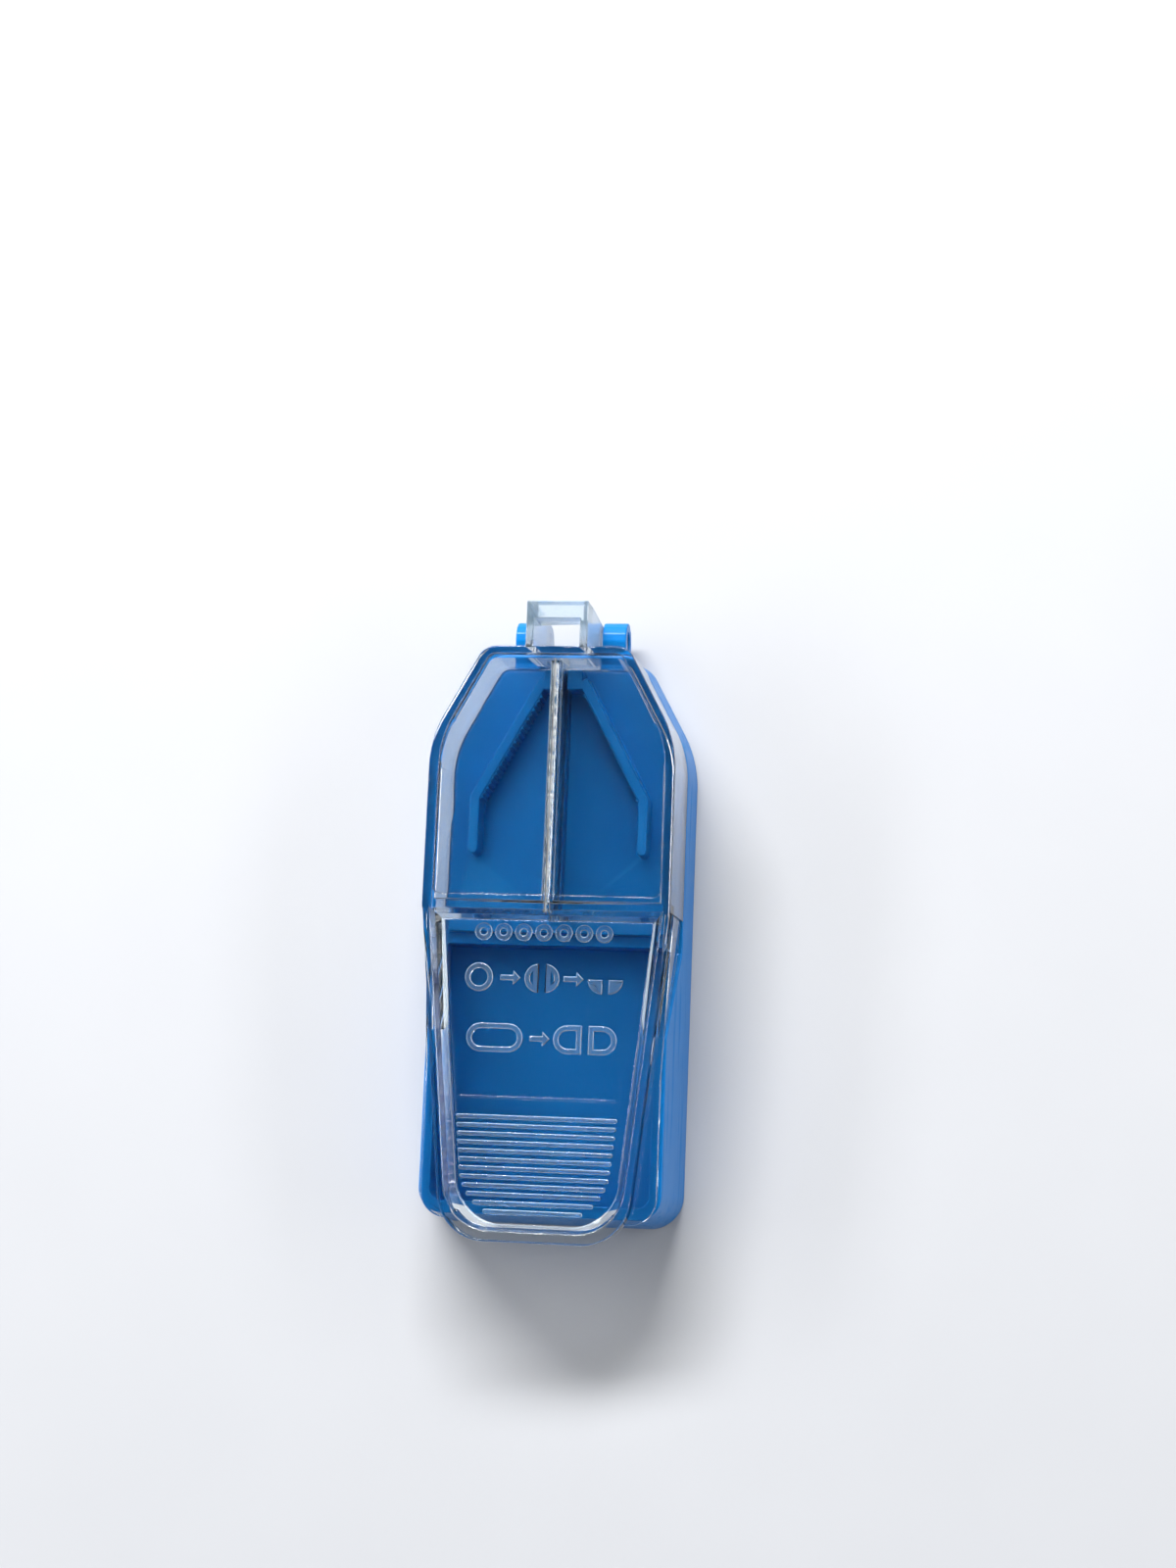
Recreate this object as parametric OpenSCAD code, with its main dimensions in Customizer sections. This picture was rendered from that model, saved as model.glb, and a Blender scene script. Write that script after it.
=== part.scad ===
// Pill splitter: a shallow moulded base with a deep clear lid hinged at its rear.
// The lid carries a steel blade, which closes into a V shaped holder on the base.
// Origin: centre of the underside. +X across, +Y towards the hinge, +Z up. Millimetres.

/* [Body outline] */
// Half width of the body at the top of the lid
top_half_w = 18.4; // [17:0.1:20]
// Height of the closed splitter
body_h = 20; // [18:0.5:24]
// Rear edge of the lid at its top
rear_y = 40.1; // [38:0.1:42]
// Front edge of the body at its top, behind the finger lip
front_y = -43.8; // [-46:0.1:-40]
// Half width of the rear edge, measured to where the sloped sides meet it
rear_half_w = 10.8; // [9:0.1:12]
// Length along Y over which the sides slope in towards the rear
slope_l = 14; // [11:0.5:17]
// Half width of the body at its foot
foot_half_w = 19.5; // [19:0.1:20]
// Half width of the base rim around the storage compartment
rim_half_w = 17.9; // [17.5:0.1:18.2]

/* [Base] */
// Height of the base rim at the rear, where the lid skirt lands
rear_rim_z = 6.7; // [5:0.1:8]
// Height of the base rim around the storage compartment
front_rim_z = 15; // [13:0.5:16]
// Height of the platform that the pill lies on
deck_z = 8; // [7.5:0.1:9]
// Thickness of the moulded walls of the base
base_wall = 1.8; // [1.2:0.1:2.2]
// Thickness of the deck and of the compartment floor
base_floor = 1.6; // [1.4:0.1:2]
// Front face of the wall between deck and compartment
divider_y = -1.6; // [-3:0.1:0]
// Where the high side walls start at their foot
step_low_y = -4; // [-6:0.5:-3]
// Where the high side walls reach full height
step_high_y = -17; // [-20:0.5:-14]

/* [Pill holder] */
// Height of the holder ribs above the deck
rib_h = 4; // [3:0.1:5]
// Width of each holder rib
rib_w = 1.5; // [1.2:0.1:2]
// Half spacing of the straight rib legs
leg_x = 12.8; // [11:0.1:13.5]
// Front end of the straight rib legs
leg_front_y = 9.9; // [8:0.1:12]
// Where the legs bend into the V
bend_y = 18.4; // [16:0.1:20]
// Blunt rear end of the V
apex_y = 36.5; // [35:0.1:37]

/* [Lid] */
// Thickness of the lid skirt
skirt_t = 1.6; // [1.2:0.1:1.8]
// Thickness of the window plate
plate_t = 1.4; // [1:0.1:1.6]
// Depth of the shallow window recess
window_d = 0.6; // [0.3:0.1:1]
// Width of the flat rim along the sides of the window
rim_w = 1.6; // [1.2:0.1:2.2]
// Width of the flat rim behind the window
rear_rim_w = 1.2; // [1:0.1:1.6]
// Front face of the crossbar between window and tongue
crossbar_y = 0.8; // [0:0.1:1.5]
// Width of the crossbar
crossbar_w = 2.2; // [1.6:0.1:2.6]
// Height of the tongue floor
tongue_z = 16.8; // [16.6:0.1:18]
// Front end of the finger lip
lip_y = -47; // [-49:0.1:-46]
// Half width of the finger lip
lip_half_w = 13.4; // [12:0.1:14.5]
// Number of grip ribs on the tongue
grip_n = 12; // [6:1:12]
// Spacing of the grip ribs
grip_pitch = 1.23; // [1:0.01:1.24]

/* [Blade] */
// Length of the blade
blade_l = 37.8; // [34:0.1:38]
// Height of the blade
blade_h = 13; // [12:0.1:13]
// Thickness of the blade
blade_t = 0.25; // [0.2:0.01:0.4]
// Height of the ground cutting edge
edge_h = 1.6; // [1:0.1:2.5]

/* [Hinge] */
// Hinge axis, distance from the centre
hinge_y = 44; // [43.8:0.1:45]
// Hinge axis, height
hinge_z = 4.6; // [4.4:0.1:5]
// Radius of the moulded hinge pins
pin_r = 1.5; // [1.2:0.05:1.6]
// Radial clearance of the pins in the ears
pin_gap = 0.05; // [0.03:0.01:0.1]
// Half width of the clear hinge bracket
bracket_half_w = 4.65; // [4:0.05:5]
// Rear end of the hinge bracket
bracket_y = 47; // [46.5:0.1:48]

/* [Hidden] */
$fn = 64;
gap = 0.3;              // air between moving pieces
arc_n = 10;             // segments in each corner of the outline
rear_r = 3;             // corner radii of the outline at the top of the lid
shoulder_r = 17;
front_r = 4;
slope_a = atan((top_half_w - rear_half_w) / slope_l);
shoulder_y = rear_y - slope_l;
wide = 4 * top_half_w;  // larger than the body in every direction
tall = 2 * body_h;
long = 60;

bulkhead_t = 1.4;       // wall under the crossbar, down to the underside of the tongue
rail_t = 0.6;           // wall on each side of the blade slot
rail_h = 1.6;
slot_t = blade_t + 0.04;
groove_t = 1.2;
blade_rear_y = 38.2;
blade_top_z = body_h + 0.2;
ear_r = 3;
ear_in = bracket_half_w + 0.25;
ear_out = 8.6;
ear_root_top = 6.3;
boss_r = 2.4;
arm_t = 1.2;
arm_root = 0.8;         // how far the arms run into the rear wall of the lid
bar_l = 2.6;            // rear bar of the bracket, along Y
bar_h = 5;
flange_z = front_rim_z + gap;
flange_t = 1.2;
flange_half_w = rim_half_w - 0.5;
flange_front_y = front_y - 0.2;
flange_y = -22;          // where the side skirts end
side_half_w = top_half_w + 0.05;
side_t = 1;              // thickness of the side skirts
overlap = 0.4;           // how far joined pieces of the lid run into each other
tongue_step = 0.15;      // tongue set in from the sides of the window part
tongue_rim = 1;
tongue_draft = 1.4;
tongue_r = 7;
tray_tip = lip_y + 1.5;
window_r = 1;            // front corners of the window recess
tip_draft = 0.9;
mark_h = 0.45;          // height of raised marks and grip ribs
root = 0.2;             // how deep they are rooted in the floor of the tongue
mark_w = 0.8;           // width of a raised line
mark_r = 2.1;           // radius of a tablet mark
small_mark = 0.62;      // size of the small tablets against the large one
small_n = 3;            // small tablets on each side of the middle one
small_pitch = 3;
small_row_y = -2.3;
tablet_x = 9.4;
caplet_x = 6.7;
cut_gap = 0.5;          // half the distance between cut halves
arrow_l = 3;
arrow_w = 2.2;
tablet_row_y = -9;
caplet_row_y = -17.8;
grip_line_y = -26.7;
grip_line_w = 23;
grip_line_t = 0.4;
grip_w = 0.66;
grip_first_y = -29.3;
grip_end = 0.9;
grip_shift = -0.5;

// Points of an arc about a centre
function arc(c, r, a0, a1) =
    [for (i = [0 : arc_n]) let (a = a0 + (a1 - a0) * i / arc_n) [c.x + r * cos(a), c.y + r * sin(a)]];

// A list of points on the +X side, closed by its mirror image
function both_sides(pts) =
    concat(pts, [for (i = [len(pts) - 1 : -1 : 0]) [-pts[i].x, pts[i].y]]);

// Outward growth of the outline of the base at height z, from the lean of its sides
function base_lean(z) = foot_half_w - top_half_w - (foot_half_w - rim_half_w) * z / front_rim_z;

// The same for the lid, which starts flush with the rear rim of the base
function lid_lean(z) = base_lean(rear_rim_z) * (body_h - z) / (body_h - rear_rim_z);

// Outline of the body grown outwards by g, starting at y0 with corners of radius r
function outline_from(y0, r, g) = both_sides(concat(
    arc([top_half_w + g - r, y0 + r], r, -90, 0),
    arc([top_half_w - shoulder_r, shoulder_y - shoulder_r * tan(slope_a / 2)], shoulder_r + g, 0, slope_a),
    arc([rear_half_w - rear_r * tan((90 - slope_a) / 2), rear_y - rear_r], rear_r + g, slope_a, 90)));

function outline(g) = outline_from(front_y - g, front_r + g, g);

// Half width of the lid tongue at y
tongue_taper = atan((top_half_w - tongue_step - lip_half_w) / (crossbar_y - lip_y));
function tongue_half(y) = lip_half_w + (y - lip_y) * tan(tongue_taper);

// Outline of the lid tongue, narrowed by d on each side, from y0 forwards to the tip
function tongue_outline(d, y0, tip) = both_sides(concat(
    arc([tongue_half(tip + tongue_r) - d - tongue_r / cos(tongue_taper), tip + tongue_r],
        tongue_r, -90, -tongue_taper),
    [[tongue_half(y0) - d, y0]]));

// Solid between two outlines of the same number of points, at two heights
module between_outlines(low, z0, high, z1) {
    n = len(low);
    sides = [for (i = [0 : n - 1]) let (j = (i + 1) % n) [i, i + n, j + n, j]];
    polyhedron(
        points = concat([for (p = low) [p.x, p.y, z0]], [for (p = high) [p.x, p.y, z1]]),
        faces = concat([[for (i = [0 : n - 1]) i]], [[for (i = [n - 1 : -1 : 0]) i + n]], sides));
}

// Solids between two heights with the leaning sides of the base or of the lid, drawn in by inset
module base_block(z0, z1, inset) {
    between_outlines(outline(base_lean(z0) - inset), z0, outline(base_lean(z1) - inset), z1);
}

module lid_block(z0, z1, inset) {
    between_outlines(outline(lid_lean(z0) - inset), z0, outline(lid_lean(z1) - inset), z1);
}

// Slab of space between two Y values
module between_y(y0, y1) {
    translate([-wide / 2, y0, -tall / 2]) cube([wide, y1 - y0, 2 * tall]);
}

// Space above the stepped parting line, moved up by lift
module above_parting(lift) {
    rotate([90, 0, 90]) translate([0, 0, -wide / 2]) linear_extrude(wide)
        polygon([[long, rear_rim_z + lift], [step_low_y, rear_rim_z + lift],
                 [step_high_y, front_rim_z + lift], [-long, front_rim_z + lift],
                 [-long, tall], [long, tall]]);
}

// Plan of one holder rib on the +X side: a round ended leg that bends into the V
function rib_plan(r) =
    let (apex = [leg_x - (apex_y - bend_y) * tan(slope_a), apex_y],
         out = [r * cos(slope_a), r * sin(slope_a)],
         turn = [r, r * tan(slope_a / 2)],
         bend = [leg_x, bend_y])
    concat(arc([leg_x, leg_front_y + r], r, 180, 360), [bend + turn, apex + out, apex - out, bend - turn]);

// V shaped holder: two bent ribs and the blunt rear end that joins them
module pill_holder() {
    apex_half = leg_x - (apex_y - bend_y) * tan(slope_a);
    translate([0, 0, deck_z - base_floor / 2]) linear_extrude(rib_h + base_floor / 2) {
        polygon(rib_plan(rib_w / 2));
        mirror([1, 0]) polygon(rib_plan(rib_w / 2));
        translate([-apex_half, apex_y - rib_w]) square([2 * apex_half, 2 * rib_w]);
    }
}

// Hinge ears on the rear wall of the base
module ears() {
    root_a = 180 - asin((ear_root_top - hinge_z) / ear_r);
    side = concat(arc([hinge_y, hinge_z], ear_r, -90, root_a),
                  [[rear_y, ear_root_top], [rear_y, hinge_z - ear_r]]);
    for (x0 = [ear_in, -ear_out])
        translate([x0, 0, 0]) rotate([90, 0, 90]) linear_extrude(ear_out - ear_in) polygon(side);
}

module base() {
    color("#1272b5") difference() {
        union() {
            difference() {
                base_block(0, front_rim_z + 1, 0);
                above_parting(0);
            }
            intersection() {
                lid_block(base_floor, deck_z, skirt_t + gap);
                between_y(divider_y, long);
            }
            pill_holder();
            ears();
        }
        // storage compartment at the front
        intersection() {
            base_block(base_floor, front_rim_z + 1, base_wall);
            between_y(-long, divider_y - base_wall);
        }
        // hollow underside below the deck
        intersection() {
            lid_block(-1, deck_z - base_floor, skirt_t + gap + base_wall / 2);
            between_y(divider_y, long);
        }
        // groove that the blade closes into
        translate([-groove_t / 2, divider_y + base_wall, blade_top_z - blade_h - gap])
            cube([groove_t, long, tall]);
        // hinge bores
        translate([-wide / 2, hinge_y, hinge_z]) rotate([0, 90, 0])
            cylinder(h = wide, r = pin_r + pin_gap);
    }
}

// Rear part of the lid: skirt, window plate and the rail that grips the blade
module cover() {
    rear_shift = rim_w - rear_rim_w;
    difference() {
        intersection() {
            lid_block(0, body_h, 0);
            between_y(crossbar_y, long);
            above_parting(gap);
        }
        intersection() {
            lid_block(0, body_h - window_d - plate_t, skirt_t);
            between_y(crossbar_y + bulkhead_t, long);
        }
        // opening below the bulkhead, between the holder and the storage compartment
        intersection() {
            lid_block(0, flange_z, skirt_t);
            between_y(0, crossbar_y + crossbar_w);
        }
        translate([0, rear_shift, body_h - window_d]) linear_extrude(tall)
            polygon(outline_from(crossbar_y + crossbar_w - rear_shift, window_r, -rim_w));
    }
    rail_y = crossbar_y + bulkhead_t / 2;
    translate([-rail_t - slot_t / 2, rail_y, body_h - window_d - plate_t - rail_h])
        cube([2 * rail_t + slot_t, blade_rear_y - rail_y, rail_h + plate_t / 2]);
}

// Half width of the side skirts at y, as they draw in towards the front flange
function skirt_half(y) =
    flange_half_w + (side_half_w - flange_half_w) * (y - flange_y) / (crossbar_y - flange_y);

// Side skirts that follow the stepped parting line and draw in to the flange
module side_skirts() {
    for (s = [-1, 1]) intersection() {
        linear_extrude(flange_z + flange_t) polygon([
            [s * skirt_half(crossbar_y), crossbar_y + overlap], [s * skirt_half(flange_y), flange_y],
            [s * (skirt_half(flange_y) - side_t), flange_y],
            [s * (skirt_half(crossbar_y) - side_t), crossbar_y + overlap]]);
        above_parting(gap);
    }
}

// Flange that lands on the rim of the storage compartment
module flange() {
    corner = arc([flange_half_w - front_r, flange_front_y + front_r], front_r, -90, 0);
    translate([0, 0, flange_z]) linear_extrude(flange_t) polygon(both_sides(concat(corner,
        [[skirt_half(flange_y), flange_y], [skirt_half(crossbar_y), crossbar_y + overlap]])));
}

// Tongue: a tapered tray with a finger lip at its front end
module tongue() {
    depth = body_h - tongue_z;
    // the walls of the tray carry on above the top with the same slope
    up = tongue_draft / depth;
    up_tip = tip_draft / depth;
    difference() {
        translate([0, 0, flange_z]) linear_extrude(body_h - flange_z)
            polygon(tongue_outline(0, crossbar_y + overlap, lip_y));
        between_outlines(
            tongue_outline(tongue_rim + tongue_draft, crossbar_y - tongue_draft, tray_tip + tip_draft),
            tongue_z,
            tongue_outline(tongue_rim - up, crossbar_y + up, tray_tip - up_tip),
            body_h + 1);
    }
}

// Plans of a round tablet and of a long caplet
module tablet_plan() { circle(r = mark_r, $fn = 32); }
module caplet_plan() { polygon(both_sides(arc([mark_r, 0], mark_r, -90, 90))); }

// The front half of a flat shape
module front_half() {
    intersection() {
        children();
        translate([-long, -long]) square([2 * long, long]);
    }
}

// Raised line that follows the edge of a flat shape
module raised_line() {
    translate([0, 0, tongue_z - root]) linear_extrude(root + mark_h) difference() {
        children();
        offset(delta = -mark_w) children();
    }
}

// Raised lines of a shape that is cut through the middle, with its halves drawn apart
module cut_pair(x, y) {
    for (s = [-1, 1]) translate([x + s * cut_gap, y, 0]) raised_line() intersection() {
        children();
        translate([s > 0 ? 0 : -long, -long]) square([long, 2 * long]);
    }
}

// Raised arrow that points along +X, centred at x, y
module arrow_mark(x, y) {
    neck = arrow_l / 2 - arrow_w / 2;
    translate([x, y, tongue_z - root]) linear_extrude(root + mark_h)
        polygon([[-arrow_l / 2, -mark_w / 2], [neck, -mark_w / 2], [neck, -arrow_w / 2], [arrow_l / 2, 0],
                 [neck, arrow_w / 2], [neck, mark_w / 2], [-arrow_l / 2, mark_w / 2]]);
}

// Raised marks on the tongue: a row of small tablets, a tablet with its halves and quarters,
// a caplet with its halves, and a thin line in front of the grip ribs
module marks() {
    for (i = [-small_n : small_n]) translate([small_pitch * i, small_row_y, 0])
        raised_line() scale(small_mark) tablet_plan();

    translate([-tablet_x, tablet_row_y, 0]) raised_line() tablet_plan();
    cut_pair(0, tablet_row_y) tablet_plan();
    cut_pair(tablet_x, tablet_row_y) front_half() tablet_plan();
    for (s = [-1, 1]) arrow_mark(s * tablet_x / 2, tablet_row_y);

    translate([-caplet_x, caplet_row_y, 0]) raised_line() caplet_plan();
    cut_pair(caplet_x, caplet_row_y) caplet_plan();
    arrow_mark(0, caplet_row_y);

    translate([-grip_line_w / 2, grip_line_y, tongue_z - root])
        cube([grip_line_w, grip_line_t, root + mark_h / 2]);
}

// Plan of a bar with round ends, along X
module round_bar(half_l, w) {
    polygon(both_sides(arc([half_l - w / 2, 0], w / 2, -90, 90)));
}

// Grip ribs across the front of the tongue, shortened where the tongue rounds off
module grip_ribs() {
    round_y = tray_tip + tip_draft + tongue_r;
    for (i = [0 : grip_n - 1]) {
        y = grip_first_y - i * grip_pitch;
        into = min(max(0, round_y - y + grip_w), tongue_r - grip_w);
        cut = tongue_r - sqrt(tongue_r * tongue_r - into * into);
        half = tongue_half(y) - tongue_rim - tongue_draft - grip_end - cut;
        translate([grip_shift, y, tongue_z - root]) linear_extrude(root + mark_h) round_bar(half, grip_w);
    }
}

// Bracket behind the lid: two arms down to the hinge, a rear bar and moulded pins
module bracket() {
    side = concat(arc([hinge_y, hinge_z], boss_r, -180, 0),
                  [[bracket_y, body_h - bar_h], [bracket_y, body_h], [rear_y - arm_root, body_h],
                   [rear_y - arm_root, hinge_z + 6], [rear_y + 0.3, hinge_z + 5],
                   [hinge_y - boss_r, hinge_z + 2.6]]);
    for (s = [-1, 1]) {
        x0 = s > 0 ? bracket_half_w - arm_t : -bracket_half_w;
        translate([x0, 0, 0]) rotate([90, 0, 90]) linear_extrude(arm_t) polygon(side);
        x1 = s > 0 ? bracket_half_w - arm_t / 2 : -ear_out + gap;
        translate([x1, hinge_y, hinge_z]) rotate([0, 90, 0])
            cylinder(h = ear_out - gap - bracket_half_w + arm_t / 2, r = pin_r);
    }
    translate([-bracket_half_w, bracket_y - bar_l, body_h - bar_h])
        cube([2 * bracket_half_w, bar_l, bar_h]);
}

module lid() {
    color("#d9eef7", 0.4) difference() {
        union() {
            cover();
            side_skirts();
            flange();
            tongue();
            translate([grip_shift, 0, 0]) marks();
            grip_ribs();
            bracket();
        }
        // slot that holds the blade
        translate([-slot_t / 2, blade_rear_y - blade_l - 0.1, 0])
            cube([slot_t, blade_l + 0.2, tall]);
    }
}

// Blade: a plain strip with a ground lower edge
module blade() {
    z0 = blade_top_z - blade_h;
    color("#c9cdd2") translate([0, blade_rear_y, 0]) rotate([90, 0, 0]) linear_extrude(blade_l)
        polygon([[-blade_t / 2, blade_top_z], [blade_t / 2, blade_top_z], [blade_t / 2, z0 + edge_h],
                 [0.02, z0], [-0.02, z0], [-blade_t / 2, z0 + edge_h]]);
}

base();
lid();
blade();
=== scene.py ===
# %% [markdown]
# # A pill splitter in clear and blue plastic
# A pill splitter is three parts: a blue moulded base, a clear moulded lid and a steel blade.
# The moving frame comes from the CAD model. This lesson gives it the looks of the real thing:
# soft moulded edges, clear plastic with real thickness, and a ground steel blade.

# %% Load the frame
import math
import random

import bmesh
import bpy
from mathutils import Matrix, Vector


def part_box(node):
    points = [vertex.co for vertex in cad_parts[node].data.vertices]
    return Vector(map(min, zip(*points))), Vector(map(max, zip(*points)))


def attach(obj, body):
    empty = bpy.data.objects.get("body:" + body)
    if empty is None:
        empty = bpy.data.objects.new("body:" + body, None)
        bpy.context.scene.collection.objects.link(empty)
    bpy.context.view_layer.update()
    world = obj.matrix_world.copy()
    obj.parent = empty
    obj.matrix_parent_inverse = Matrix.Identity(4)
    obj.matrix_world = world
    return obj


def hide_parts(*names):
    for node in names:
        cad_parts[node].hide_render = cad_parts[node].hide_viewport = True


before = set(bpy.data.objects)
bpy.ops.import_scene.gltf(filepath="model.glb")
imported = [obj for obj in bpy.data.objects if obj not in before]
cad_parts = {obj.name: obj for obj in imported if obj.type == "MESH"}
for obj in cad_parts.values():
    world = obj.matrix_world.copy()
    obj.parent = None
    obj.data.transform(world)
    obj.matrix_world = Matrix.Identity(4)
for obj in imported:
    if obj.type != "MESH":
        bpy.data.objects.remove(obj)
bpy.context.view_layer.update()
MM = 0.001
random.seed(7)

# %% [markdown]
# ## Landmarks
# The lid's box gives the height of the closed splitter, and the blade's box gives the cutting
# line. Both are read from the frame, so the bead and the lights follow the CAD model.

# %% Landmarks from the frame
lid_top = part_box("lid")[1].z
blade_low, blade_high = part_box("blade")
blade_length = blade_high.y - blade_low.y
print("lid top %.1f mm, blade %.1f mm long" % (lid_top / MM, blade_length / MM))

# %% [markdown]
# ## Moulded edges
# No moulded part has a knife edge: molten plastic can't fill one, and the tool is polished round.
# The radius is tiny, but it is what catches the light along every rim.
# A radius needs room. Where a short edge or a flat seam meets the corner, a full radius would
# fold the surface over itself, so each corner first measures the room at its two ends.

# %% How much room a corner has
SHARP_TURN = math.radians(22)  # two faces that turn less than this make no corner
STRAIGHT_ON = -0.87            # cosine between two edges that run on into each other
FREE_ROOM = 10                 # room of a corner with no neighbours, in its own lengths


def directions(edge, vertex):
    """The direction of an edge away from a vertex, and each other edge there with its own."""
    here = (edge.other_vert(vertex).co - vertex.co).normalized()
    others = [other for other in vertex.link_edges if other is not edge]
    return here, [(other, (other.other_vert(vertex).co - vertex.co).normalized()) for other in others]


def room_for(edge, corners):
    """The length that a rounding of this corner may use before it runs into a neighbour."""
    own = edge.calc_length()
    room = FREE_ROOM * own
    for vertex in edge.verts:
        here, others = directions(edge, vertex)
        for other, there in others:
            along = here.dot(there)
            across = math.sqrt(max(0.0, 1 - along * along))
            if other not in corners:
                room = min(room, other.calc_length() * across)
            elif along > STRAIGHT_ON:
                share = across if along > 0 else 1.0
                room = min(room, own * share, other.calc_length() * share)
    return room


def runs_on(edge, corners):
    """True where a corner carries on in nearly the same direction at both ends."""
    def carries_on(vertex):
        here, others = directions(edge, vertex)
        return any(other in corners and here.dot(there) < STRAIGHT_ON for other, there in others)
    return all(carries_on(vertex) for vertex in edge.verts)


# %% [markdown]
# ## How much of the radius
# Every outer corner gets the full radius, or as much of it as fits. Short inner corners, such as
# the foot of a raised mark, stay sharp as they do in a cut steel tool. Along a run of corners the
# radius may only grow slowly, because a sudden step in it would show as a notch.

# %% The share of the radius at each corner
SHORT_HOLLOW = 4.5 * MM   # inner corners under this length stay sharp
SHORT_CORNER = 0.5 * MM   # lone corners under this length stay sharp
ROOM_PER_RADIUS = 2.6     # room that one full radius needs
GROWTH = 0.35             # most growth of the radius per unit of length along a run
GROWTH_ROUNDS = 14


def rounding_share(edge, corners, radius):
    """The part of the full radius, from 0 to 1, that a corner gets."""
    length = edge.calc_length()
    if not edge.is_convex and length < SHORT_HOLLOW:
        return 0.0
    if length < SHORT_CORNER and not runs_on(edge, corners):
        return 0.0
    return min(1.0, room_for(edge, corners) / (ROOM_PER_RADIUS * radius))


def grow_gently(shares, radius):
    """Keeps the radius from growing faster than the distance along a run of corners."""
    for _ in range(GROWTH_ROUNDS):
        for edge in shares:
            step = GROWTH * edge.calc_length() / radius
            for vertex in edge.verts:
                here, others = directions(edge, vertex)
                for other, there in others:
                    if other in shares and here.dot(there) < STRAIGHT_ON:
                        shares[edge] = min(shares[edge], shares[other] + step)


# %% [markdown]
# ## Even shading
# A flat wall must shade flat up to its very edge, and a rounding must shade round. At each point
# the faces that look nearly the same way vote on its direction, and a face's vote grows with the
# square of its area, so a wide wall always outvotes the thin strips of a rounding.

# %% Directions for shading
SAME_WAY = math.cos(math.radians(28))


def shade_evenly(mesh):
    """Gives each corner of each face the direction that its like-minded neighbours vote for."""
    for face in mesh.polygons:
        face.use_smooth = True
    around = [[] for _ in mesh.vertices]
    for face in mesh.polygons:
        for vertex in face.vertices:
            around[vertex].append((face.normal.copy(), (face.area / MM ** 2) ** 2))
    leaning = []
    for face in mesh.polygons:
        own = face.normal
        for vertex in face.vertices:
            votes = [normal * vote for normal, vote in around[vertex] if normal.dot(own) > SAME_WAY]
            total = sum(votes, Vector())
            leaning.append(total.normalized() if total.length > 0 else own.copy())
    mesh.normals_split_custom_set(leaning)


# %% [markdown]
# ## Rounded copies
# The CAD solid has true faces and no radius. A copy of it is cleaned into large flat faces, each
# corner is told its share of the radius, and a Bevel modifier rounds them all. The modifier is
# applied at once, because the directions for shading belong to the finished faces.

# %% Round the corners of a CAD solid
FLAT_ENOUGH = math.radians(0.6)  # faces that turn less than this become one face
LEAST_SHARE = 0.12               # a corner with a smaller share stays sharp


def piece_from(form, name):
    """Turns a worked form into a piece of the scene."""
    mesh = bpy.data.meshes.new(name)
    form.to_mesh(mesh)
    form.free()
    piece = bpy.data.objects.new(name, mesh)
    bpy.context.scene.collection.objects.link(piece)
    return piece


def settle(piece):
    """Applies the modifiers of a piece."""
    bpy.context.view_layer.update()
    graph = bpy.context.evaluated_depsgraph_get()
    done = bpy.data.meshes.new_from_object(piece.evaluated_get(graph), depsgraph=graph)
    piece.modifiers.clear()
    piece.data = done


def moulded_copy(node, name, radius, steps, merge=0.005 * MM):
    """A copy of a CAD node as its own piece, with every corner rounded as far as it has room."""
    form = bmesh.new()
    form.from_mesh(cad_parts[node].data)
    share_layer = form.edges.layers.float.new("bevel_weight_edge")
    bmesh.ops.remove_doubles(form, verts=form.verts, dist=merge)
    bmesh.ops.dissolve_limit(form, angle_limit=FLAT_ENOUGH, verts=form.verts, edges=form.edges)
    bmesh.ops.recalc_face_normals(form, faces=form.faces)
    ordered = [edge for edge in form.edges if edge.is_manifold and edge.calc_face_angle() > SHARP_TURN]
    corners = set(ordered)
    shares = {edge: rounding_share(edge, corners, radius) for edge in ordered}
    grow_gently(shares, radius)
    for edge, share in shares.items():
        edge[share_layer] = share if share > LEAST_SHARE else 0.0
    rounded = sum(share > LEAST_SHARE for share in shares.values())
    print("%s: %d of %d corners rounded" % (name, rounded, len(ordered)))
    piece = piece_from(form, name)
    rounding = piece.modifiers.new("rounded corners", "BEVEL")
    rounding.limit_method = "WEIGHT"
    rounding.width = radius
    rounding.segments = steps
    rounding.use_clamp_overlap = False
    rounding.miter_outer = "MITER_ARC"
    settle(piece)
    shade_evenly(piece.data)
    return piece


# %% [markdown]
# ## The three pieces
# The base and the lid are mouldings with a corner radius under a quarter of a millimetre. The
# blade is only a quarter of a millimetre thick, so its corners are merely broken, and its copy is
# cleaned with a finer step. Each copy rides on the body that its CAD node belongs to.

# %% Base, lid and blade
BASE_RADIUS = 0.22 * MM
LID_RADIUS = 0.2 * MM
BLADE_RADIUS = 0.02 * MM
ROUND_STEPS = 4

base_shell = moulded_copy("base", "base_shell", BASE_RADIUS, ROUND_STEPS)
lid_shell = moulded_copy("lid", "lid_shell", LID_RADIUS, ROUND_STEPS)
blade_strip = moulded_copy("blade", "blade_strip", BLADE_RADIUS, 1, merge=0.001 * MM)
for piece, node, body in ((base_shell, "base", "body"),
                          (lid_shell, "lid", "cover"),
                          (blade_strip, "blade", "cover")):
    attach(piece, body)
    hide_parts(node)

# %% [markdown]
# ## Teeth of the pill holder
# The inner faces of the V are serrated, so that a smooth tablet can't slide while the blade
# comes down. Each face is one saw edge strip, rooted in the rib behind it. Its outline is drawn
# from above, a loop makes the teeth, and a prism lifts it nearly to the top of the rib.

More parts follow.
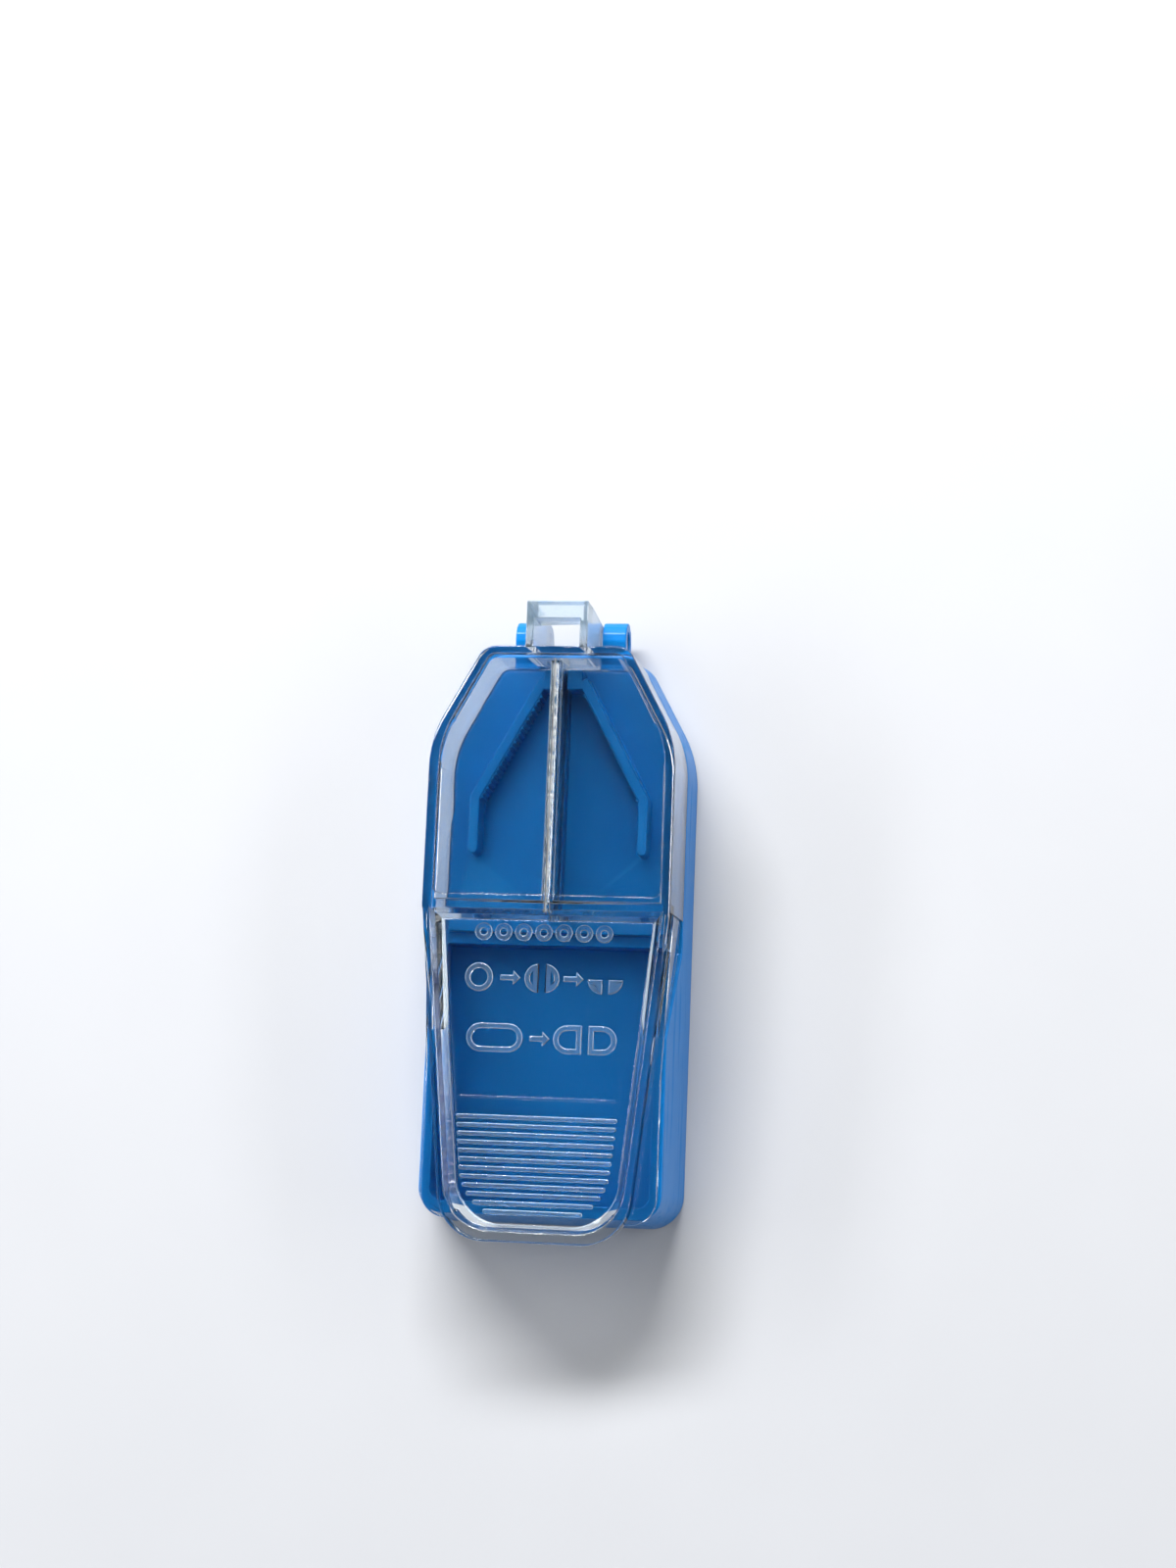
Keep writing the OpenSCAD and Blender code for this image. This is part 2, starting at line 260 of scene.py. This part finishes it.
# %% Serrated strips
TOOTH_PITCH = 0.8 * MM
TOOTH_DEPTH = 0.38 * MM
TOOTH_ROOT = 0.3 * MM
DECK_TOP = 8.0 * MM
TOOTH_TOP = 11.75 * MM
BEND = Vector((12.05, 18.21)) * MM       # where the rib turns towards the hinge
BLUNT_END = Vector((2.93, 35.0)) * MM    # where the two ribs nearly meet


def saw_strip(side):
    """Points of one strip seen from above: a straight back, then the saw edge."""
    run = BLUNT_END - BEND
    along = run.normalized()
    inward = Vector((-along.y, along.x)) * (1 if along.x < 0 else -1)
    count = int(run.length / TOOTH_PITCH)
    back = [BEND - inward * TOOTH_ROOT, BEND + along * (count * TOOTH_PITCH) - inward * TOOTH_ROOT]
    saw = []
    for i in range(count, 0, -1):
        saw.append(BEND + along * (i * TOOTH_PITCH))
        saw.append(BEND + along * ((i - 0.5) * TOOTH_PITCH) + inward * TOOTH_DEPTH)
    return [(side * p.x, p.y) for p in back + saw + [BEND]]


def prism(form, outline, low, high):
    """An upright solid on a flat outline."""
    foot = [form.verts.new((x, y, low)) for x, y in outline]
    top = [form.verts.new((x, y, high)) for x, y in outline]
    form.faces.new(foot)
    form.faces.new(top)
    for i in range(len(outline)):
        j = (i + 1) % len(outline)
        form.faces.new((foot[i], foot[j], top[j], top[i]))


form = bmesh.new()
for side in (-1, 1):
    prism(form, saw_strip(side), DECK_TOP - TOOTH_ROOT, TOOTH_TOP)
bmesh.ops.triangulate(form, faces=[face for face in form.faces if len(face.verts) > 4])
bmesh.ops.recalc_face_normals(form, faces=form.faces)
holder_teeth = piece_from(form, "holder_teeth")
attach(holder_teeth, "body")
print("teeth: %d faces" % len(holder_teeth.data.polygons))

# %% [markdown]
# ## Bead along the blade
# The blade stands a little proud of the window, and the plastic beside it is pressed over it with
# a hot tool. That leaves a narrow, broken, whitened bead all along its back, and the bead's white
# also paints the glints along the blade's back. It is a chain of sections whose width and height
# are drawn at random, because a hot tool leaves no even line.

# %% Staked bead
BEAD_STEP = 0.28 * MM
BEAD_LOW, BEAD_HIGH = 0.10 * MM, 0.27 * MM   # width on each side of the blade
BEAD_FOOT = lid_top - 0.62 * MM
BEAD_DIP_LEAST, BEAD_DIP_MOST = 0.02, 0.25   # mm that the bead stays under the lid's top
BEAD_SIDES = 4


def bead_section(y):
    """Four points across the bead: foot and shoulder on each side."""
    widths = [random.uniform(BEAD_LOW, BEAD_HIGH) for _ in range(2)]
    height = lid_top - random.uniform(BEAD_DIP_LEAST, BEAD_DIP_MOST) * MM
    return [(-widths[0] - BEAD_LOW, y, BEAD_FOOT), (-widths[0], y, height),
            (widths[1], y, height), (widths[1] + BEAD_LOW, y, BEAD_FOOT)]


form = bmesh.new()
sections = int(blade_length / BEAD_STEP)
rows = []
for i in range(sections):
    points = bead_section(blade_low.y + (i + 0.5) * BEAD_STEP)
    rows.append([form.verts.new(point) for point in points])
for row, following in zip(rows, rows[1:]):
    for j in range(BEAD_SIDES):
        k = (j + 1) % BEAD_SIDES
        form.faces.new((row[j], following[j], following[k], row[k]))
form.faces.new(rows[0])
form.faces.new(rows[-1][::-1])
bmesh.ops.recalc_face_normals(form, faces=form.faces)
# its white also paints the glint along the blade's back
blade_bead = piece_from(form, "blade_bead")
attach(blade_bead, "cover")
print("bead: %d sections" % sections)

# %% [markdown]
# ## Shader helpers
# A finish is a formula: a base value plus a little noise times a mask. Written as Python
# expressions it stays readable, so one small class wraps a socket and turns + - * into nodes.
# A second class holds the nodes of one material, or of the room, and has one way to add any node.

# %% Sockets as numbers
class Wire:
    """An output socket that adds Math nodes when it is used in arithmetic."""

    def __init__(self, finish, socket):
        self.finish, self.socket = finish, socket

    def math(self, operation, a, b):
        return self.finish.node("Math", {"operation": operation}, {0: a, 1: b})

    def __add__(self, other):
        return self.math("ADD", self, other)

    def __sub__(self, other):
        return self.math("SUBTRACT", self, other)

    def __rsub__(self, other):
        return self.math("SUBTRACT", other, self)

    def __mul__(self, other):
        return self.math("MULTIPLY", self, other)

    __radd__ = __add__
    __rmul__ = __mul__


# %% A finish and its nodes
EVEN = (1.0, 1.0, 1.0)


class Finish:
    """A material or a room under construction."""

    def __init__(self, owner):
        self.owner = owner
        owner.use_nodes = True
        self.tree = owner.node_tree
        self.tree.nodes.clear()

    def node(self, kind, settings=None, values=None, out=0):
        """Adds a node: its type, its settings, the values or links of its sockets, and its output."""
        made = self.tree.nodes.new("ShaderNode" + kind)
        for key, value in (settings or {}).items():
            if key == "stops":
                self.set_stops(made.color_ramp, value)
            else:
                setattr(made, key, value)
        for key, value in (values or {}).items():
            if isinstance(value, Wire):
                self.tree.links.new(value.socket, made.inputs[key])
            else:
                made.inputs[key].default_value = value
        return Wire(self, made.outputs[out]) if made.outputs else None

    def set_stops(self, ramp, stops):
        while len(ramp.elements) < len(stops):
            ramp.elements.new(0.5)
        for element, (place, colour) in zip(ramp.elements, stops):
            element.position = place
            element.color = colour

    def ramp(self, value, stops):
        """Turns a value into a colour by a list of (place, colour) stops."""
        return self.node("ValToRGB", {"stops": stops}, {"Fac": value})

    def between(self, value, low, high):
        """0 below low, 1 above high, and a straight ramp from one to the other."""
        return self.node("MapRange", None, {"Value": value, "From Min": low, "From Max": high})

    def place(self):
        """The point on the piece, in metres."""
        return self.node("TexCoord", out=3)

    def part_of(self, vector, axis):
        """One of the three numbers of a vector."""
        return self.node("SeparateXYZ", None, {"Vector": vector}, out="XYZ".index(axis))

    def noise(self, scale, detail=3.0, axes=EVEN):
        """Soft noise with about this many blots per metre. An axis under 1 draws them out along it."""
        place = self.place()
        if axes != EVEN:
            place = self.node("Mapping", None, {"Vector": place, "Scale": axes})
        return self.node("TexNoise", None, {"Vector": place, "Scale": scale, "Detail": detail})

    def blend_colours(self, share, first, second):
        return self.node("Mix", {"data_type": "RGBA"}, {0: share, 6: first, 7: second}, out=2)

    def bump(self, height, strength, distance, under=None):
        """Raises the surface by a height, on top of the bump that is under it."""
        values = {"Height": height, "Strength": strength, "Distance": distance}
        if under is not None:
            values["Normal"] = under
        return self.node("Bump", None, values)

    def shader(self, **values):
        """One plastic or metal shader. Names use _ for a space."""
        named = {key.replace("_", " "): value for key, value in values.items()}
        return self.node("BsdfPrincipled", None, named)

    def wear(self, shader):
        """Makes this shader the surface of the material, or the light of the room."""
        of_room = isinstance(self.owner, bpy.types.World)
        self.node("OutputWorld" if of_room else "OutputMaterial", None, {"Surface": shader})
        return self.owner


def material(name):
    return Finish(bpy.data.materials.new(name))


def dress(finish, *pieces):
    """Gives pieces one material as their only one."""
    for piece in pieces:
        piece.data.materials.clear()
        piece.data.materials.append(finish)
    print("%s: %d nodes, on %s" % (finish.name, len(finish.node_tree.nodes), [p.name for p in pieces]))


# %% [markdown]
# ## Edge wear
# Corners get rubbed first. Where two faces meet, the Pointiness of the surface tells a raised
# corner from a hollow one, and a ramp keeps only the raised ones.

# %% A mask of rubbed corners
BLACK, WHITE = (0, 0, 0, 1), (1, 1, 1, 1)
POINTINESS = 7  # output of the Geometry node; 0.5 is flat
CORNER_BEGINS, CORNER_FULL = 0.52, 0.60


def rubbed_corners(f):
    pointy = f.node("NewGeometry", out=POINTINESS)
    return f.ramp(pointy, [(CORNER_BEGINS, BLACK), (CORNER_FULL, WHITE)])


# %% [markdown]
# ## Blue moulded plastic
# The base is coloured through and through, with the slight orange peel of a polished steel
# tool. The blue drifts a little from thick to thin places, its corners are paler, and fine
# scuffs from handling break its gloss along the length.

# %% Blue plastic
DEEP_BLUE, FULL_BLUE = (0.0, 0.165, 0.50, 1), (0.0, 0.19, 0.58, 1)
RUBBED_BLUE = (0.01, 0.28, 0.68, 1)
ALONG_BODY = (1.0, 0.05, 1.0)


def blue_plastic():
    f = material("blue_moulded_plastic")
    drift = f.noise(40.0, detail=2.0)
    corner = rubbed_corners(f)
    colour = f.blend_colours(corner * 0.3, f.blend_colours(drift, DEEP_BLUE, FULL_BLUE), RUBBED_BLUE)
    lines = f.noise(900.0, detail=4.0, axes=ALONG_BODY)
    scuff = f.ramp(lines, [(0.56, BLACK), (0.66, WHITE)])
    grain = f.noise(2600.0, detail=2.0)
    peel = f.noise(420.0, detail=2.0)
    rough = 0.24 + f.noise(160.0, detail=4.0) * 0.14 + corner * 0.08 + scuff * 0.16
    normal = f.bump(peel, strength=0.12, distance=0.05 * MM)
    normal = f.bump(grain, strength=0.10, distance=0.02 * MM, under=normal)
    normal = f.bump(scuff, strength=0.15, distance=0.01 * MM, under=normal)
    return f.wear(f.shader(Base_Color=colour, Roughness=rough, Normal=normal,
                           IOR=1.5, Specular_IOR_Level=0.22))


dress(blue_plastic(), base_shell, holder_teeth)

# %% [markdown]
# ## Raised marks and ribs
# The edges of the grip ribs and the raised marks are painted milky white as a highlight, and
# their tops get a fainter painted highlight and lose their gloss. The marks stand on the flat
# tongue of the lid, so their height finds them, and the way that the surface faces tells their
# edges from their tops.

# %% Masks on the marks
FLOOR_OF_TONGUE = 16.8 * MM
TOP_OF_MARKS = 17.25 * MM
FACING = 1  # output of Texture Coordinate: the direction of the surface


def raised_marks(f):
    """Two masks on the raised marks and grip ribs: their rounded edges, and their flat tops."""
    height = f.part_of(f.place(), "Z")
    upward = f.part_of(f.node("TexCoord", out=FACING), "Z")
    above = f.between(height, FLOOR_OF_TONGUE + 0.20 * MM, FLOOR_OF_TONGUE + 0.28 * MM)
    below = 1.0 - f.between(height, TOP_OF_MARKS + 0.02 * MM, TOP_OF_MARKS + 0.06 * MM)
    flat = f.between(upward, 0.90, 0.99)
    raised = above * below
    return raised * f.between(upward, 0.10, 0.35) * (1.0 - flat), raised * flat


# %% [markdown]
# ## Clear moulded plastic
# The lid is clear styrene: it bends light strongly, its faces carry faint flow lines, and
# handling leaves fine haze. Real thickness does most of the work, because each rim shows a
# bright line where light leaves the wall. The hinge bracket is frosted, from the coarse finish
# of its part of the tool. Clear and milky plastic are two shaders, and a mask mixes them. The
# milky one frosts the bracket and paints highlights on the edges and tops of the marks and ribs.

# %% Clear plastic
BRACKET_FROM = 41.0 * MM
BRACKET_FADE = 0.6 * MM
CLEAR, CLEAR_THICK = (0.93, 0.975, 1.0, 1), (0.90, 0.96, 0.99, 1)
FROST_AND_HIGHLIGHT_THIN, FROST_AND_HIGHLIGHT_THICK = (0.36, 0.62, 0.84, 1), (0.66, 0.84, 0.95, 1)
STYRENE_IOR = 1.59


def clear_plastic():
    f = material("clear_moulded_plastic")
    haze = f.noise(90.0, detail=4.0)
    patches = f.noise(1500.0)
    bracket = f.between(f.part_of(f.place(), "Y"), BRACKET_FROM, BRACKET_FROM + BRACKET_FADE)
    # masks that carry the painted highlights of the marks and ribs, and the lost gloss of their tops
    edges, tops = raised_marks(f)
    rough = 0.015 + haze * 0.03 + rubbed_corners(f) * 0.05 + bracket * 0.16 + tops * 0.2
    normal = f.bump(f.noise(120.0, detail=2.0), strength=0.05, distance=0.05 * MM)
    colour = f.blend_colours(haze, CLEAR, CLEAR_THICK)
    clear = f.shader(Base_Color=colour, Roughness=rough, Normal=normal,
                     IOR=STYRENE_IOR, Transmission_Weight=1.0)
    frost_and_highlight_colour = f.blend_colours(patches, FROST_AND_HIGHLIGHT_THIN, FROST_AND_HIGHLIGHT_THICK)
    frost_and_highlight = f.shader(Base_Color=frost_and_highlight_colour, Roughness=0.4,
                     Normal=f.bump(patches, strength=0.25, distance=0.02 * MM))
    # painted highlight in milky white on the edges and tops of the marks and ribs, and frost on the
    # bracket
    share = edges * (0.18 + patches * 0.36) + tops * patches * 0.12 + bracket * 0.14
    return f.wear(f.node("MixShader", None, {0: share, 1: clear, 2: frost_and_highlight}))


dress(clear_plastic(), lid_shell)

# %% [markdown]
# ## Whitened plastic and painted glint
# Clear plastic that has been pressed while hot turns milky, patch by patch, and the white
# patches also paint the glints along the blade's back. Where it didn't turn, the blue of the
# deck shows through, so the noise picks between white and a dull blue.

# %% Bead finish
SEEN_THROUGH, WHITENED_AND_GLINT = (0.10, 0.24, 0.42, 1), (0.90, 0.93, 0.95, 1)


def whitened_and_glinting_plastic():
    f = material("whitened_and_glinting_plastic")
    patches = f.ramp(f.noise(700.0), [(0.38, BLACK), (0.48, WHITE)])
    # the white patches are whitened plastic and a painted glint along the blade's back
    colour = f.blend_colours(patches, SEEN_THROUGH, WHITENED_AND_GLINT)
    normal = f.bump(f.noise(5000.0, detail=2.0), strength=0.3, distance=0.03 * MM)
    return f.wear(f.shader(Base_Color=colour, Roughness=0.5 - patches * 0.22, Normal=normal))


dress(whitened_and_glinting_plastic(), blade_bead)

# %% [markdown]
# ## Blade steel
# The strip is rolled stainless with a ground edge: fine scratches run along its length. One
# noise, drawn out along the blade, gives them their tone, their gloss and their depth.

# %% Steel
DULL_STEEL, BRIGHT_STEEL = (0.62, 0.64, 0.66, 1), (0.86, 0.87, 0.88, 1)
ALONG_BLADE = (1.0, 0.02, 1.0)


def blade_steel():
    f = material("ground_stainless_steel")
    scratches = f.noise(4000.0, axes=ALONG_BLADE)
    tone = f.blend_colours(scratches, DULL_STEEL, BRIGHT_STEEL)
    normal = f.bump(scratches, strength=0.2, distance=0.01 * MM)
    return f.wear(f.shader(Base_Color=tone, Metallic=1.0, Roughness=0.18 + scratches * 0.2, Normal=normal))


dress(blade_steel(), blade_strip)

# %% [markdown]
# ## Table
# The splitter lies on a plain pale table. It is wide, so that its edge is never seen, and it
# lies a hair under the foot of the base, because two faces in one plane shade each other black.

# %% Table
TABLE_HALF = 6.0
TABLE_TOP = -0.02 * MM
PALE, PALER = (0.50, 0.51, 0.535, 1), (0.53, 0.54, 0.565, 1)


def pale_table():
    f = material("pale_table")
    colour = f.blend_colours(f.noise(30.0, detail=4.0), PALE, PALER)
    normal = f.bump(f.noise(900.0), strength=0.05, distance=0.05 * MM)
    return f.wear(f.shader(Base_Color=colour, Roughness=0.6, Normal=normal))


form = bmesh.new()
signs = ((-1, -1), (1, -1), (1, 1), (-1, 1))
form.faces.new([form.verts.new((sx * TABLE_HALF, sy * TABLE_HALF, TABLE_TOP)) for sx, sy in signs])
table_top = piece_from(form, "table_top")
dress(pale_table(), table_top)

# %% [markdown]
# ## Lights
# Clear plastic shows what it reflects, so the lights are long, soft and few. The strongest strip
# stands behind the hinge and draws the bright lines on the rims. A weaker one on each side
# shapes the side walls.

# %% Strip lights
STRIP_SIZE = (0.9, 0.18)
STRIPS = {  # place in metres and power in watts
    "rear_strip": ((-0.20, 0.85, 0.80), 26.0),
    "left_strip": ((-0.95, 0.17, 0.60), 5.0),
    "right_strip": ((0.95, 0.17, 0.60), 3.5),
}


def strip_light(name, place, power, aim):
    """A long soft light that faces a point."""
    data = bpy.data.lights.new(name, "AREA")
    data.shape = "RECTANGLE"
    data.size, data.size_y = STRIP_SIZE
    data.energy = power
    lamp = bpy.data.objects.new(name, data)
    bpy.context.scene.collection.objects.link(lamp)
    lamp.location = place
    lamp.rotation_mode = "QUATERNION"
    lamp.rotation_quaternion = (aim - Vector(place)).to_track_quat("-Z", "Y")


centre = Vector((0, 0, lid_top / 2))
for name, (place, power) in STRIPS.items():
    strip_light(name, place, power, centre)
print("strip lights: %d, %.1f W in all" % (len(STRIPS), sum(power for _, power in STRIPS.values())))

# %% [markdown]
# ## Room
# The room is bright round the sides and dim overhead. The sides light the blue plastic evenly,
# and the dim ceiling leaves no milky reflection on the flat clear window.

# %% The room around the table
GENERATED = 0  # output of Texture Coordinate: in a room, the direction that is looked in
ROOM_TINT = (0.96, 0.98, 1.0)
ROOM_GLOW = ((0.0, 0.36), (0.45, 0.44), (0.80, 0.26), (0.93, 0.03), (1.0, 0.02))  # height, light


def soft_room():
    f = Finish(bpy.data.worlds.new("soft_room"))
    height = f.part_of(f.node("TexCoord", out=GENERATED), "Z")
    stops = [(level, (*(glow * tint for tint in ROOM_TINT), 1)) for level, glow in ROOM_GLOW]
    return f.wear(f.node("Background", None, {"Color": f.ramp(height, stops), "Strength": 1.0}))


bpy.context.scene.world = soft_room()
bpy.context.scene.view_settings.view_transform = "Standard"

# %% [markdown]
# ## Camera
# The camera looks steeply down on the lid from the front and the right, at arm's length with a
# medium lens. Its place is worked out from two angles and a distance, and its up direction is
# nearly the body's own length, so the splitter stands almost upright in the picture.

# %% Camera
LENS_MM = 54.0
CAMERA_AZIMUTH = math.radians(46.2)
CAMERA_ELEVATION = math.radians(77.2)
CAMERA_DISTANCE = 0.3548
NEAR_LIMIT = 10 * MM
aim_point = Vector((0.0040, 0.0210, 0.010))
up_hint = Vector((-0.040, 1.0, 0.0))

back = Vector((math.sin(CAMERA_AZIMUTH) * math.cos(CAMERA_ELEVATION),
               -math.cos(CAMERA_AZIMUTH) * math.cos(CAMERA_ELEVATION),
               math.sin(CAMERA_ELEVATION)))
right = up_hint.cross(back).normalized()
upward = back.cross(right)
camera_data = bpy.data.cameras.new("camera")
camera_data.lens = LENS_MM
camera_data.clip_start = NEAR_LIMIT
camera = bpy.data.objects.new("camera", camera_data)
bpy.context.scene.collection.objects.link(camera)
turn = Matrix((right, upward, back)).transposed().to_4x4()
camera.matrix_world = Matrix.Translation(aim_point + back * CAMERA_DISTANCE) @ turn
bpy.context.scene.camera = camera
print("camera at", [round(v, 3) for v in camera.matrix_world.translation])
